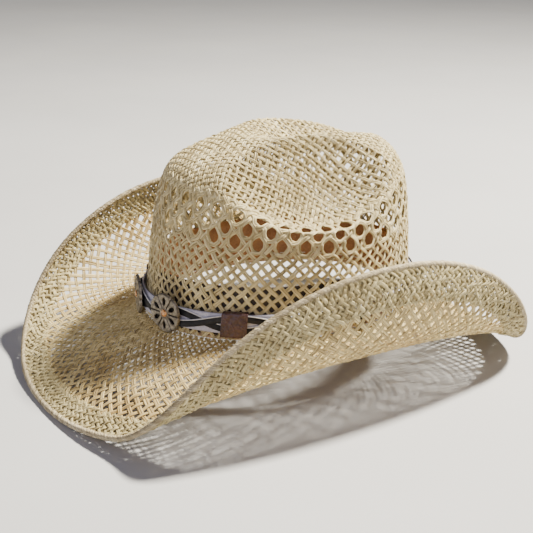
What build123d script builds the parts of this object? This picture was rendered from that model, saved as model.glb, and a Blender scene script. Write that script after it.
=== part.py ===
from build123d import *
import os
from math import atan2, cos, degrees, hypot, pi, radians, sin

# Open-weave western hat: creased crown, rolled brim, leather sweatband and a loose
# laced hatband with two flower conchos.  Millimetres.  +Z up, the hat's front faces -Y,
# the wearer's left is +X.  The origin is on the resting plane, below the crown's centre.

# ---------------------------------------------------------------- driving dimensions
# crown
CROWN_HALF_LENGTH = 105.0   # outside of the crown at the brim, front to back
CROWN_HALF_WIDTH = 81.5
CROWN_HEIGHT = 120.0        # open crown without its dome
CROWN_DOME = 16.0           # how far the centre ridge stands above the shoulder
CROWN_TILT = 3.0            # the rear shoulder is this much higher, the front lower
TAPER_LENGTH = 0.105        # share of the length lost from brim to top
TAPER_WIDTH = 0.01
LEAN = 2.0                  # the top's centre lies this far behind the base's
SHOULDER = 6.0              # superellipse exponent of the shoulder's roundness
STRAW = 2.0                 # thickness of the woven straw

# creases pressed into the crown: ellipsoids (centre, radii, yaw)
SIDE_DENT = ((74.0, -12.0, 150.0), (46.0, 90.0, 78.0), 12.0)
TOP_DENT = ((-7.0, 40.0, 194.0), (42.0, 104.0, 85.0), -13.0)

# brim, before and after it is rolled
BRIM_FRONT = 191.5          # flat outline, from the crown's centre
BRIM_REAR = 180.0
BRIM_SIDE = 187.5
BRIM_SQUARE = 2.2           # superellipse exponent of the outline
ROLL_START = 96.0           # half width at which the roll begins
ROLL_START_ENDS = -20.0     # change of that towards front and rear
ROLL_RADIUS = 44.0
ROLL_RADIUS_ENDS = -14.0
ROLL_REACH = 185.0
DIP = 47.0                  # drop of the front and rear edges
SIDE_SAG = 10.0             # the sides sag this much before they roll up
REST_HEIGHT = 49.37         # crown base above the resting plane
CROWN_Y = 5.62              # the crown's centre lies behind the middle of the hat
SURFACE_TOLERANCE = 0.15    # of the brim's spline surface
EDGE_STEP = 5               # degrees from one section of the border to the next

# border of the brim
HEM_START = 0.80            # share of the brim's width where the dense border begins
HEM_END = 0.945
HEM_GAP = 0.008             # between the open weave and the border
HEM_ABOVE = 0.4             # how far it stands above and below the brim's top
HEM_BELOW = 2.4
ROLL_EDGE_RADIUS = 2.4
WIRE_CHANNEL = 1.05
WIRE_RADIUS = 0.8
EDGE_SHARE = 0.973          # share of the width at which the edge's wire lies

# sweatband
BAND_GAP = 0.8
SWEAT_THICKNESS = 1.2
SWEAT_HEIGHT = 36.0
REED_RADIUS = 1.3
SWEAT_FOOT = 0.5            # its lower edge above the crown's base
STITCH_COUNT = 72
STITCH_LENGTH = 4.6
STITCH_WIDTH = 0.8
STITCH_DEPTH = 0.4
STITCH_GAP = 0.05           # between a stitch's back and what it lies on
STITCH_HEIGHT = 4.0         # above the crown's base
TAPE_WIDTH = 15.0           # tape over the sweatband's seam at the back
TAPE_THICKNESS = 0.8
TAPE_BOTTOM = 7.0
TAPE_TOP = 33.0

# hatband
STRAP_GAP = 1.8             # strap to crown, leaves room for the keepers' inner wall
STRAP_THICKNESS = 1.6
STRAP_HEIGHT = 14.0
STRAP_CENTRE = 11.4         # above the crown's base
STRAP_SLIT = 1.0            # where the strap's ends meet at the back
LACE_THICKNESS = 0.9
LACE_WIDTH = 4.2
LACE_WAVE = 4.6
PIPING_WIDTH = 0.9
PIPING_GAP = 0.05
LAYER_GAP = 0.15
LACE_REACH = 179.4          # the laces end at this angle either way
CROSSINGS = 12
KEEPER_WALL = 1.0
KEEPER_WIDTH = 18.0
KEEPER_FRONT_ANGLE = 46.0   # from the front, either way
KEEPER_REAR_ANGLE = 103.0
KEEPER_PLAY = 0.1           # between a keeper and what runs through it
KEEPER_STITCHES = 5         # in each of its two rows
KEEPER_STITCH_PITCH = 3.2
KEEPER_STITCH_LENGTH = 2.2
KEEPER_STITCH_WIDTH = 0.6
KEEPER_STITCH_DEPTH = 0.35
KEEPER_STITCH_MARGIN = 2.2
CONCHO_RADIUS = 14.2
CONCHO_THICKNESS = 2.4
CONCHO_ANGLE = 14.0         # from the front, either way
CONCHO_CENTRE = 12.4        # above the crown's base
CONCHO_EDGE = 0.9           # rounding of the front's rim
CORE_SHARE = 0.72           # of the radius, the disc that joins the petals
PETALS = 6
PETAL_SHARE = 0.60          # of the radius, where the petals' rounds are centred
PETAL_SWELL = 1.18
TEAR_SHARE = 0.57           # of the radius, where the petals are pierced
TEAR_HALF_LENGTH = 3.0
TEAR_HALF_WIDTH = 1.5
STONE_RADIUS = 2.7
STONE_THICKNESS = 1.3
STONE_EDGE = 0.5
POST_RADIUS = 1.0
POST_CLEARANCE = 0.1
SCREW_HEAD = 0.7
SCREW_HEAD_RADIUS = 3.0
SCREW_STEP = 0.35           # the head lies this far behind the strap

os.makedirs("parts", exist_ok=True)


def save(solid, name):
    solid.label = name
    export_step(solid, f"parts/{name}.step")


# ---------------------------------------------------------------- crown surface
def crown_level(rise, inset=0.0):
    """Half width, half length and centre y of the crown at a share of its height."""
    half_width = (CROWN_HALF_WIDTH - inset) * (1 - TAPER_WIDTH * rise)
    half_length = (CROWN_HALF_LENGTH - inset) * (1 - TAPER_LENGTH * rise)
    return half_width, half_length, CROWN_Y + LEAN * rise


def wall_point(angle, outset, height):
    """A point beside the crown's wall; angle 0 is the front, 90 the wearer's left."""
    half_width, half_length, centre = crown_level(height / CROWN_HEIGHT)
    turn = radians(angle)
    x = (half_width + outset) * sin(turn)
    y = centre - (half_length + outset) * cos(turn)
    return Vector(x, y, REST_HEIGHT + height)


def shoulder_levels(count, first_rise=0.55, last_radius=0.15):
    """Pairs (radius share, rise) evenly spaced along the shoulder's superellipse."""
    curve = []
    steps = 400
    for k in range(steps + 1):
        turn = pi / 2 * (1 - k / steps)
        curve.append((sin(turn) ** (2 / SHOULDER), cos(turn) ** (2 / SHOULDER)))
    curve = [point for point in curve if point[1] >= first_rise and point[0] >= last_radius]
    lengths = [0.0]
    for (r0, h0), (r1, h1) in zip(curve, curve[1:]):
        lengths.append(lengths[-1] + hypot(r1 - r0, h1 - h0))
    levels = []
    for k in range(count):
        target = lengths[-1] * k / (count - 1)
        nearest = min(range(len(curve)), key=lambda i: abs(lengths[i] - target))
        levels.append(curve[nearest])
    return levels


def crown_blank(inset):
    """The crown before it is creased: tilted ovals from the brim to the dome's top."""
    height = CROWN_HEIGHT - inset

    def oval(radius, rise):
        half_width, half_length, centre = crown_level(rise, inset)
        level = REST_HEIGHT + height * rise + CROWN_DOME * (1 - radius**2) ** 4
        slope = degrees(atan2(CROWN_TILT * rise, CROWN_HALF_LENGTH))
        plane = Plane((0, centre, level)).rotated((slope, 0, 0))
        with BuildSketch(plane) as section:
            Ellipse(half_width * radius, half_length * radius)
        return section.sketch

    shoulder = [oval(radius, rise) for radius, rise in shoulder_levels(14)]
    top = Vertex(0, CROWN_Y + LEAN, REST_HEIGHT + height + CROWN_DOME)
    with BuildPart() as blank:
        loft([oval(1.0, 0.0), shoulder[0]], ruled=True)
        loft(shoulder + [top])
    return blank.part


def dent(shape, grow, side=1):
    """An ellipsoid pressed into the crown, swollen by grow."""
    (x, y, z), radii, yaw = shape
    ball = Sphere(1, mode=Mode.PRIVATE)
    egg = scale(ball, by=tuple(radius + grow for radius in radii), mode=Mode.PRIVATE)
    return Location((side * x, CROWN_Y + y, REST_HEIGHT + z), (0, 0, -side * yaw)) * egg


def creased_crown(inset):
    """The crown's outside, or with an inset its inside, with the three creases."""
    with BuildPart() as body:
        add(crown_blank(inset))
        add(dent(TOP_DENT, inset), mode=Mode.SUBTRACT)
        add(dent(SIDE_DENT, inset, 1), mode=Mode.SUBTRACT)
        add(dent(SIDE_DENT, inset, -1), mode=Mode.SUBTRACT)
    return body.part


# ---------------------------------------------------------------- brim surface
def brim_point(angle, share, below=0.0):
    """A point of the rolled brim: share 0 at the crown, 1 at the edge."""
    turn = radians(angle)
    s = sin(turn)
    c = cos(turn)
    length = BRIM_FRONT if c > 0 else BRIM_REAR
    reach = (abs(s / BRIM_SIDE) ** BRIM_SQUARE + abs(c / length) ** BRIM_SQUARE) ** (-1 / BRIM_SQUARE)
    x = CROWN_HALF_WIDTH * s * (1 - share) + reach * s * share
    y = -CROWN_HALF_LENGTH * c * (1 - share) - reach * c * share
    ends = (y / ROLL_REACH) ** 2
    start = ROLL_START + ROLL_START_ENDS * ends
    radius = ROLL_RADIUS + ROLL_RADIUS_ENDS * ends
    bend = max(abs(x) - start, 0.0) / radius
    across = min(abs(x), start) + radius * sin(bend)
    z = radius * (1 - cos(bend)) - DIP * c * c * share - SIDE_SAG * s * s * sin(pi * share)
    point = Vector(across if x > 0 else -across, CROWN_Y + y, REST_HEIGHT + z)
    return point - brim_normal(angle, share) * below if below else point


def brim_normal(angle, share):
    """The upward normal of the brim's top."""
    step = 1e-3
    along = brim_point(angle + step, share) - brim_point(angle - step, share)
    out = brim_point(angle, share + step) - brim_point(angle, share - step)
    return out.cross(along).normalized()


def brim_sheet(start, end, thickness):
    """The brim's sheet of straw between two shares of its width."""
    count = 24
    rows = 7
    overlap = 4.0
    angles = [-overlap + (180 + 2 * overlap) * k / count for k in range(count + 1)]
    shares = [start + (end - start) * k / (rows - 1) for k in range(rows)]
    grid = [[brim_point(angle, share) for share in shares] for angle in angles]
    face = Face.make_surface_from_array_of_points(grid, tol=SURFACE_TOLERANCE)
    facing = face.normal_at(face.center()).Z
    with BuildPart() as strip:
        thicken(face, amount=-thickness if facing > 0 else thickness)
        split(bisect_by=Plane.YZ, keep=Keep.TOP)
        mirror(about=Plane.YZ)
    return strip.part


def edge_plane(angle, share, below):
    """A plane across the brim's border; its x is up and its normal runs along the edge."""
    step = 0.1
    along = brim_point(angle + step, share, below) - brim_point(angle - step, share, below)
    if angle in (0, 180):
        along = Vector(1 if angle == 0 else -1, 0, 0)
    return Plane(brim_point(angle, share, below), x_dir=(0, 0, 1), z_dir=along)


def brim_tube(share, below, radius):
    """A closed round tube that follows the brim's edge."""
    sections = []
    for angle in range(0, 181, EDGE_STEP):
        with BuildSketch(edge_plane(angle, share, below)) as ring:
            Circle(radius)
        sections.append(ring.sketch)
    with BuildPart() as tube:
        loft(sections)
        mirror(about=Plane.YZ)
    return tube.part


def brim_border(start, end, above, below):
    """A closed strip of flat facets round the brim between two shares of its width."""
    shares = [start + (end - start) * k / 3 for k in range(4)]
    rings = []
    for angle in range(0, 360, EDGE_STEP):
        ring = [brim_point(angle, share, -above) for share in shares]
        ring += [brim_point(angle, share, below) for share in reversed(shares)]
        rings.append(ring)
    facets = []
    for ring, following in zip(rings, rings[1:] + rings[:1]):
        for k in range(len(ring)):
            a, b = ring[k - 1], ring[k]
            c, d = following[k], following[k - 1]
            facets += [Face(Wire.make_polygon([a, b, c])), Face(Wire.make_polygon([a, c, d]))]
    with BuildPart() as border:
        add(Solid(Shell(facets)))
    return border.part


# ---------------------------------------------------------------- rings round the crown
def wall_oval(height, outset):
    """An oval parallel to the crown's wall: outset beyond it, or inside when negative."""
    half_width, half_length, centre = crown_level(height / CROWN_HEIGHT)
    with BuildSketch(Plane((0, centre, REST_HEIGHT + height))) as oval:
        Ellipse(half_width + outset, half_length + outset)
    return oval.sketch


def wall_ring(bottom, top, inner, outer):
    """A closed band beside the crown's wall between two heights and two outsets."""
    with BuildPart() as ring:
        loft([wall_oval(bottom, outer), wall_oval(top, outer)], ruled=True)
        loft([wall_oval(bottom, inner), wall_oval(top, inner)], ruled=True, mode=Mode.SUBTRACT)
    return ring.part


def wall_plane(angle, outset, height):
    """A plane that touches the leaning wall, its normal outwards and its x level."""
    step = 0.05
    along = wall_point(angle + step, outset, height) - wall_point(angle - step, outset, height)
    climb = wall_point(angle, outset, height + step) - wall_point(angle, outset, height)
    return Plane(wall_point(angle, outset, height), x_dir=along, z_dir=along.cross(climb))


def oval_angles(count, outset, height):
    """Angles from the front to the rear that divide the half oval evenly by length."""
    steps = 720
    points = [wall_point(180 * k / steps, outset, height) for k in range(steps + 1)]
    lengths = [0.0]
    for before, after in zip(points, points[1:]):
        lengths.append(lengths[-1] + (after - before).length)
    angles = []
    for k in range(count + 1):
        target = lengths[-1] * k / count
        nearest = min(range(steps + 1), key=lambda i: abs(lengths[i] - target))
        angles.append(180 * nearest / steps)
    return angles


# ---------------------------------------------------------------- woven body
with BuildPart() as crown:
    add(creased_crown(0))
    add(creased_crown(STRAW), mode=Mode.SUBTRACT)
save(crown.part, "crown")

with BuildPart() as brim:
    add(brim_sheet(0.001, HEM_START, STRAW))
save(brim.part, "brim")

with BuildPart() as brim_hem:
    add(brim_border(HEM_START + HEM_GAP, HEM_END, HEM_ABOVE, HEM_BELOW))
save(brim_hem.part, "brim_hem")

with BuildPart() as brim_edge_roll:
    add(brim_tube(EDGE_SHARE, STRAW / 2, ROLL_EDGE_RADIUS))
    add(brim_tube(EDGE_SHARE, STRAW / 2, WIRE_CHANNEL), mode=Mode.SUBTRACT)
save(brim_edge_roll.part, "brim_edge_roll")

with BuildPart() as brim_wire:
    add(brim_tube(EDGE_SHARE, STRAW / 2, WIRE_RADIUS))
save(brim_wire.part, "brim_wire")

# ---------------------------------------------------------------- sweatband
sweat_outer = -STRAW - BAND_GAP
sweat_inner = sweat_outer - SWEAT_THICKNESS

with BuildPart() as sweatband:
    add(wall_ring(SWEAT_FOOT, SWEAT_HEIGHT, sweat_inner, sweat_outer))
save(sweatband.part, "sweatband")

reed_oval = wall_oval(-REED_RADIUS, sweat_inner)
with BuildPart() as sweatband_reed:
    with BuildSketch(Plane((reed_oval.bounding_box().max.X, 0, REST_HEIGHT - REED_RADIUS), z_dir=(0, 1, 0))):
        Circle(REED_RADIUS)
    sweep(path=reed_oval.edges()[0])
save(sweatband_reed.part, "sweatband_reed")

with BuildPart() as sweatband_stitching:
    for k in range(STITCH_COUNT):
        turn = 360 * (k + 0.5) / STITCH_COUNT
        with BuildSketch(wall_plane(turn, sweat_inner - STITCH_GAP - STITCH_DEPTH, STITCH_HEIGHT)):
            SlotOverall(STITCH_LENGTH, STITCH_WIDTH)
        extrude(amount=STITCH_DEPTH)
save(sweatband_stitching.part, "sweatband_stitching")

with BuildPart() as sweatband_seam_tape:
    tape_outer = sweat_inner - 2 * STITCH_GAP
    add(wall_ring(TAPE_BOTTOM, TAPE_TOP, tape_outer - TAPE_THICKNESS, tape_outer))
    with Locations((0, CROWN_HALF_LENGTH, REST_HEIGHT)):
        Box(TAPE_WIDTH, CROWN_HALF_LENGTH, 3 * SWEAT_HEIGHT, mode=Mode.INTERSECT)
save(sweatband_seam_tape.part, "sweatband_seam_tape")

# ---------------------------------------------------------------- hatband
strap_outer = STRAP_GAP + STRAP_THICKNESS
lace_a_inner = strap_outer + LAYER_GAP
lace_b_inner = lace_a_inner + LACE_THICKNESS + LAYER_GAP
lace_b_outer = lace_b_inner + LACE_THICKNESS
wave_angles = oval_angles(CROSSINGS // 2, lace_a_inner, STRAP_CENTRE)


def wave_turn(angle):
    """How many crossings lie between the front and an angle, as a fraction."""
    side = 1 if angle >= 0 else -1
    size = abs(angle)
    for k in range(CROSSINGS // 2):
        if size <= wave_angles[k + 1]:
            return side * (k + (size - wave_angles[k]) / (wave_angles[k + 1] - wave_angles[k]))
    return side * CROSSINGS / 2


def lace_point(angle, outset, side):
    """A point on a lace's middle line; its wave starts upwards for side 1."""
    wave = side * LACE_WAVE * sin(pi * wave_turn(angle))
    return wall_point(angle, outset, STRAP_CENTRE + wave)


def ribbon(outset, thickness, side, low, high):
    """A flat strip that waves along the strap, between two drops from its middle line."""
    count = 8 * CROSSINGS
    step = 0.2
    middle = outset + thickness / 2
    sections = []
    for k in range(count + 1):
        angle = LACE_REACH * (2 * k / count - 1)
        centre = lace_point(angle, middle, side)
        ahead = lace_point(min(angle + step, 180), middle, side)
        behind = lace_point(max(angle - step, -180), middle, side)
        out = wall_plane(angle, middle, STRAP_CENTRE).z_dir
        with BuildSketch(Plane(centre, x_dir=out, z_dir=ahead - behind)) as section:
            with Locations((0, (low + high) / 2)):
                Rectangle(thickness, high - low)
        sections.append(section.sketch)
    with BuildPart() as strip:
        loft(sections, ruled=True)
    return strip.part


def concho_plane(angle, depth=0.0):
    """The plane of a concho's back, moved outwards by depth."""
    return wall_plane(angle, lace_b_outer + LAYER_GAP, CONCHO_CENTRE).offset(depth)


def concho_post(angle, radius, start, end):
    """A round post through the strap at a concho, from one depth to another."""
    with BuildPart() as post:
        with BuildSketch(concho_plane(angle, start)):
            Circle(radius)
        extrude(amount=end - start)
    return post.part


with BuildPart() as concho_holes:
    for angle in (-CONCHO_ANGLE, CONCHO_ANGLE):
        add(concho_post(angle, POST_RADIUS + POST_CLEARANCE, -lace_b_outer, CONCHO_THICKNESS))

with BuildPart() as band_strap:
    add(wall_ring(STRAP_CENTRE - STRAP_HEIGHT / 2, STRAP_CENTRE + STRAP_HEIGHT / 2, STRAP_GAP, strap_outer))
    with Locations((0, CROWN_HALF_LENGTH, REST_HEIGHT + STRAP_CENTRE)):
        Box(STRAP_SLIT, CROWN_HALF_LENGTH, 2 * STRAP_HEIGHT, mode=Mode.SUBTRACT)
    add(concho_holes.part, mode=Mode.SUBTRACT)
save(band_strap.part, "band_strap")

for name, side, inner in (("a", 1, lace_a_inner), ("b", -1, lace_b_inner)):
    with BuildPart() as lace:
        add(ribbon(inner, LACE_THICKNESS, side, -LACE_WIDTH / 2, LACE_WIDTH / 2))
        add(concho_holes.part, mode=Mode.SUBTRACT)
    save(lace.part, f"lace_{name}")
    # white piping along the upper edge of each lace
    edge = -LACE_WIDTH / 2 - PIPING_GAP
    with BuildPart() as piping:
        add(ribbon(inner, LACE_THICKNESS, side, edge - PIPING_WIDTH, edge))
    save(piping.part, f"lace_piping_{name}")

# ---------------------------------------------------------------- conchos
petal_ring = PETAL_SHARE * CONCHO_RADIUS
petal_radius = PETAL_SWELL * (CONCHO_RADIUS - petal_ring)
first_petal = 180 / PETALS
screw_depth = lace_b_outer + LAYER_GAP - STRAP_GAP + SCREW_STEP
for name, angle in (("left", CONCHO_ANGLE), ("right", -CONCHO_ANGLE)):
    with BuildPart() as concho:
        with BuildSketch(concho_plane(angle)):
            Circle(CORE_SHARE * CONCHO_RADIUS)
            with PolarLocations(petal_ring, PETALS, start_angle=first_petal):
                Circle(petal_radius)
            Circle(POST_RADIUS + POST_CLEARANCE, mode=Mode.SUBTRACT)
            with PolarLocations(TEAR_SHARE * CONCHO_RADIUS, PETALS, start_angle=first_petal):
                Ellipse(TEAR_HALF_LENGTH, TEAR_HALF_WIDTH, mode=Mode.SUBTRACT)
        extrude(amount=CONCHO_THICKNESS)
        front = concho.faces().sort_by(Axis((0, 0, 0), concho_plane(angle).z_dir))[-1]
        fillet(front.outer_wire().edges(), CONCHO_EDGE)
    save(concho.part, f"concho_{name}")
    with BuildPart() as stone:
        with BuildSketch(concho_plane(angle, CONCHO_THICKNESS + LAYER_GAP)):
            Circle(STONE_RADIUS)
        extrude(amount=STONE_THICKNESS)
        fillet(stone.edges().group_by(SortBy.LENGTH)[-1], STONE_EDGE)
    save(stone.part, f"concho_stone_{name}")
    with BuildPart() as screw:
        add(concho_post(angle, POST_RADIUS, -screw_depth - SCREW_HEAD / 2, CONCHO_THICKNESS))
        add(concho_post(angle, SCREW_HEAD_RADIUS, -screw_depth - SCREW_HEAD, -screw_depth))
    save(screw.part, f"concho_screw_{name}")

# ---------------------------------------------------------------- keepers
keeper_reach = LACE_WAVE + LACE_WIDTH / 2 + PIPING_WIDTH + 2 * KEEPER_PLAY
keeper_angles = {
    "keeper_left_front": KEEPER_FRONT_ANGLE,
    "keeper_left_rear": KEEPER_REAR_ANGLE,
    "keeper_right_rear": -KEEPER_REAR_ANGLE,
    "keeper_right_front": -KEEPER_FRONT_ANGLE,
    "keeper_back": 180.0,
}
keeper_low = STRAP_CENTRE - keeper_reach
keeper_high = STRAP_CENTRE + keeper_reach
keeper_inner = STRAP_GAP - KEEPER_PLAY
keeper_outer = lace_b_outer + KEEPER_PLAY
keeper_face = keeper_outer + KEEPER_WALL

with BuildPart() as sleeve:
    add(wall_ring(keeper_low - KEEPER_WALL, keeper_high + KEEPER_WALL,
                  keeper_inner - KEEPER_WALL, keeper_face))
    add(wall_ring(keeper_low, keeper_high, keeper_inner, keeper_outer), mode=Mode.SUBTRACT)


def across_band(angle, width):
    """A block that takes a piece of the given width out of a ring at an angle."""
    plane = wall_plane(angle, 0, STRAP_CENTRE)
    with BuildPart() as block:
        with BuildSketch(plane):
            Rectangle(width, 4 * STRAP_HEIGHT)
        extrude(amount=width, both=True)
    return block.part


for name, angle in keeper_angles.items():
    with BuildPart() as keeper:
        add(sleeve.part)
        add(across_band(angle, KEEPER_WIDTH), mode=Mode.INTERSECT)
    save(keeper.part, name)

stitch_rows = KEEPER_WIDTH - 2 * KEEPER_STITCH_MARGIN
with BuildPart() as keeper_stitching:
    for angle in keeper_angles.values():
        with BuildSketch(wall_plane(angle, keeper_face + KEEPER_PLAY, STRAP_CENTRE)):
            with GridLocations(stitch_rows, KEEPER_STITCH_PITCH, 2, KEEPER_STITCHES):
                SlotOverall(KEEPER_STITCH_LENGTH, KEEPER_STITCH_WIDTH, rotation=90)
        extrude(amount=KEEPER_STITCH_DEPTH)
save(keeper_stitching.part, "keeper_stitching")
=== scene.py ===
from math import cos, pi, radians, sin

import bpy
import numpy as np
from mathutils import Matrix, Vector


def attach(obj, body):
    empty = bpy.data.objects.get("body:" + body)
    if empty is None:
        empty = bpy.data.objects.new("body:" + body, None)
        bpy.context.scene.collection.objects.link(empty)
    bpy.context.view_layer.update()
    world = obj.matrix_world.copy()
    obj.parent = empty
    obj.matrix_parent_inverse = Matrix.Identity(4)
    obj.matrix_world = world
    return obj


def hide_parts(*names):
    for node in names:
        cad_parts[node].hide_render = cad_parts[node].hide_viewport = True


# The looks of an open-weave straw western hat: every strand of the crown, brim and border
# is modelled on the same surfaces as the CAD solids.  Metres.  +Z up, front -Y.

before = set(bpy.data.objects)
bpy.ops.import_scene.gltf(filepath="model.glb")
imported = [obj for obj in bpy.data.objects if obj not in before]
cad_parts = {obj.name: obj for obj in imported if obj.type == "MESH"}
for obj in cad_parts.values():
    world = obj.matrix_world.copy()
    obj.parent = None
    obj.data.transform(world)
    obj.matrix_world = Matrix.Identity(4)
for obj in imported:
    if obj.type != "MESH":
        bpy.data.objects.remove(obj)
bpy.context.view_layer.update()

# ------------ dimensions, as the CAD's
CROWN_HALF_LENGTH = 0.105
CROWN_HALF_WIDTH = 0.0815
CROWN_HEIGHT = 0.120
CROWN_DOME = 0.016
CROWN_TILT = 0.003
TAPER_LENGTH = 0.105
TAPER_WIDTH = 0.01
LEAN = 0.002
SHOULDER = 6.0
STRAW = 0.002
SIDE_DENT = ((0.074, -0.012, 0.150), (0.046, 0.090, 0.078), 12.0)
TOP_DENT = ((-0.007, 0.040, 0.194), (0.042, 0.104, 0.085), -13.0)
SIDE_DENT_BLEND = 0.017
TOP_DENT_BLEND = 0.018

BRIM_FRONT = 0.1915
BRIM_REAR = 0.180
BRIM_SIDE = 0.1875
BRIM_SQUARE = 2.2
ROLL_START = 0.096
ROLL_START_ENDS = -0.020
ROLL_RADIUS = 0.044
ROLL_RADIUS_ENDS = -0.014
ROLL_REACH = 0.185
DIP = 0.047
SIDE_SAG = 0.010
REST_HEIGHT = 0.04937
CROWN_Y = 0.00562
HEM_START = 0.80
EDGE_SHARE = 0.973

STRAP_GAP = 0.0018
STRAP_THICKNESS = 0.0016
STRAP_HEIGHT = 0.014
STRAP_CENTRE = 0.0114
LACE_THICKNESS = 0.0009
LACE_WIDTH = 0.0042
LACE_WAVE = 0.0046
PIPING_WIDTH = 0.0009
PIPING_GAP = 0.00005
LAYER_GAP = 0.00015
CROSSINGS = 12
KEEPER_WALL = 0.001
KEEPER_WIDTH = 0.018
KEEPER_FRONT_ANGLE = 46.0
KEEPER_REAR_ANGLE = 103.0
CONCHO_RADIUS = 0.0142
CONCHO_THICKNESS = 0.0024
CONCHO_ANGLE = 14.0
CONCHO_CENTRE = 0.0124
PETALS = 6
SWEAT_THICKNESS = 0.0012
SWEAT_HEIGHT = 0.036
SWEAT_OUTER = -STRAW - 0.0008
REED_RADIUS = 0.0013
BAND_ENDS = 179.4           # the laces end at this angle either way
BAND_SLIT = 0.3             # half of the strap's gap at the back, in degrees

# weave: widths and thicknesses are those of a whole strand, lifts how far it weaves in and out
WALL_STRANDS = 72           # strands of each direction round the crown
WALL_PERIOD = 0.0085        # height of a mesh of the wall's lattice
WALL_STRAND = (0.0026, 0.0011)
WALL_LIFT = 0.00055
WALL_ABOVE_VENTS = 1.35     # the lattice starts this many meshes above the first row of vents
WALL_BULGE = 0.008          # what the wall's mean radius has over its half width
VENT_ROWS = 3
VENT_TURN = 45              # where the first row's height is given, in degrees from the front
VENT_HEIGHT = 0.0836        # of the first row there, above the crown's base
VENT_NEAREST = 0.055        # the first row lies further than this from the crown's top
VENT_SPACING = 0.0087
VENT_HALF_WIDTH = 0.0052
VENT_HALF_HEIGHT = 0.0062
VENT_SQUARE = 3.2           # superellipse exponent of the strands' course round a vent
VENT_SHARE = 0.9            # of the full push out of a vent that a strand takes
TOP_PITCH = 0.0041
TOP_STRAND = (0.0020, 0.0010)
TOP_LIFT = 0.00052
TOP_OVERLAP = 0.006         # how far the top's weave runs on below the wall's upper end
BRIM_STRANDS = 130
BRIM_STEPS = 62
BRIM_STRAND = (0.0027, 0.0010)
BRIM_LIFT = 0.00048
BRIM_WEAVE = (0.012, HEM_START + 0.04)              # the shares of the brim that it covers
HEM_STRANDS = 250
HEM_STEPS = 20
HEM_SLOPE = 1.15            # turn per climb of the hem's strands; 1 is 45 degrees
HEM_WEAVE = (HEM_START - 0.012, EDGE_SHARE - 0.006)
HEM_STRAND = (0.0021, 0.0010)
HEM_LIFT = 0.00055
ROPE_STRANDS = 3
ROPE_LAY = 0.0085           # length of one turn of the edge's straws
ROPE_RADIUS = 0.00115
ROPE_STRAND = (0.0027, 0.0022)
STEP = 0.0015               # length of one facet of a strand

# faces of the conchos, from their centres
TEAR_CENTRE = 0.58 * CONCHO_RADIUS
TEAR_HALF_LENGTH = 0.0031
TEAR_HALF_WIDTH = 0.00155
TEAR_DEPTH = 0.0015
GROOVE_HALF_WIDTH = 0.00042
GROOVE_DEPTH = 0.0007
COLLAR_RADIUS = 0.0034
CONCHO_DOME = 0.0017
STONE_RADIUS = 0.0027
STONE_RISE = 0.0017
STONE_SUNK = 0.0006

KEEPER_STITCH_ROWS = range(-4, 5)
KEEPER_STITCH_PITCH = 0.0017
KEEPER_STITCH_LENGTH = 0.00135
KEEPER_STITCH_WIDTH = 0.0005
KEEPER_STITCH_MARGIN = 0.0020
KEEPER_PLAY = 0.0001
KEEPER_CORNER = 0.0014
KEEPER_INNER_CORNER = 0.0005

CAMERA_PLACE = (0.6585, -0.4165, 0.3490)
CAMERA_TARGET = (0.0051, -0.0094, 0.0748)
CAMERA_ROLL = 0.943         # degrees
CAMERA_LENS = 74.77         # millimetres, on a sensor 36 wide
LIGHT_DISTANCE = 2.0
LIGHT_CENTRE = (0, 0, 0.08)
FLOOR_HALF = 6.0

random = np.random.default_rng(7)


# ------------ surfaces
def smooth_min(a, b, reach):
    """The lower of two heights, blended where they are closer than reach."""
    share = np.clip(0.5 + 0.5 * (b - a) / reach, 0, 1)
    return b * (1 - share) + a * share - reach * share * (1 - share)


def dent_floor(shape, x, y):
    """Height of an ellipsoidal dent's floor above the crown's base; high outside it."""
    (cx, cy, cz), (rx, ry, rz), yaw = shape
    c = cos(radians(yaw))
    s = sin(radians(yaw))
    u = (x - cx) * c - (y - cy) * s
    v = (x - cx) * s + (y - cy) * c
    inside = 1 - (u / rx) ** 2 - (v / ry) ** 2
    return cz - rz * np.sqrt(np.clip(inside, 0, 1))


def crown_profile():
    """(radius share, rise) along the shoulder's superellipse, from the top to the base."""
    upper = np.linspace(0, 0.955, 160)
    first_rise = (1 - upper[-1] ** SHOULDER) ** (1 / SHOULDER)
    lower = np.linspace(first_rise, 0, 220)[1:]
    radius = np.concatenate([upper, (1 - lower**SHOULDER) ** (1 / SHOULDER)])
    rise = np.concatenate([(1 - upper**SHOULDER) ** (1 / SHOULDER), lower])
    return radius, rise


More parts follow.
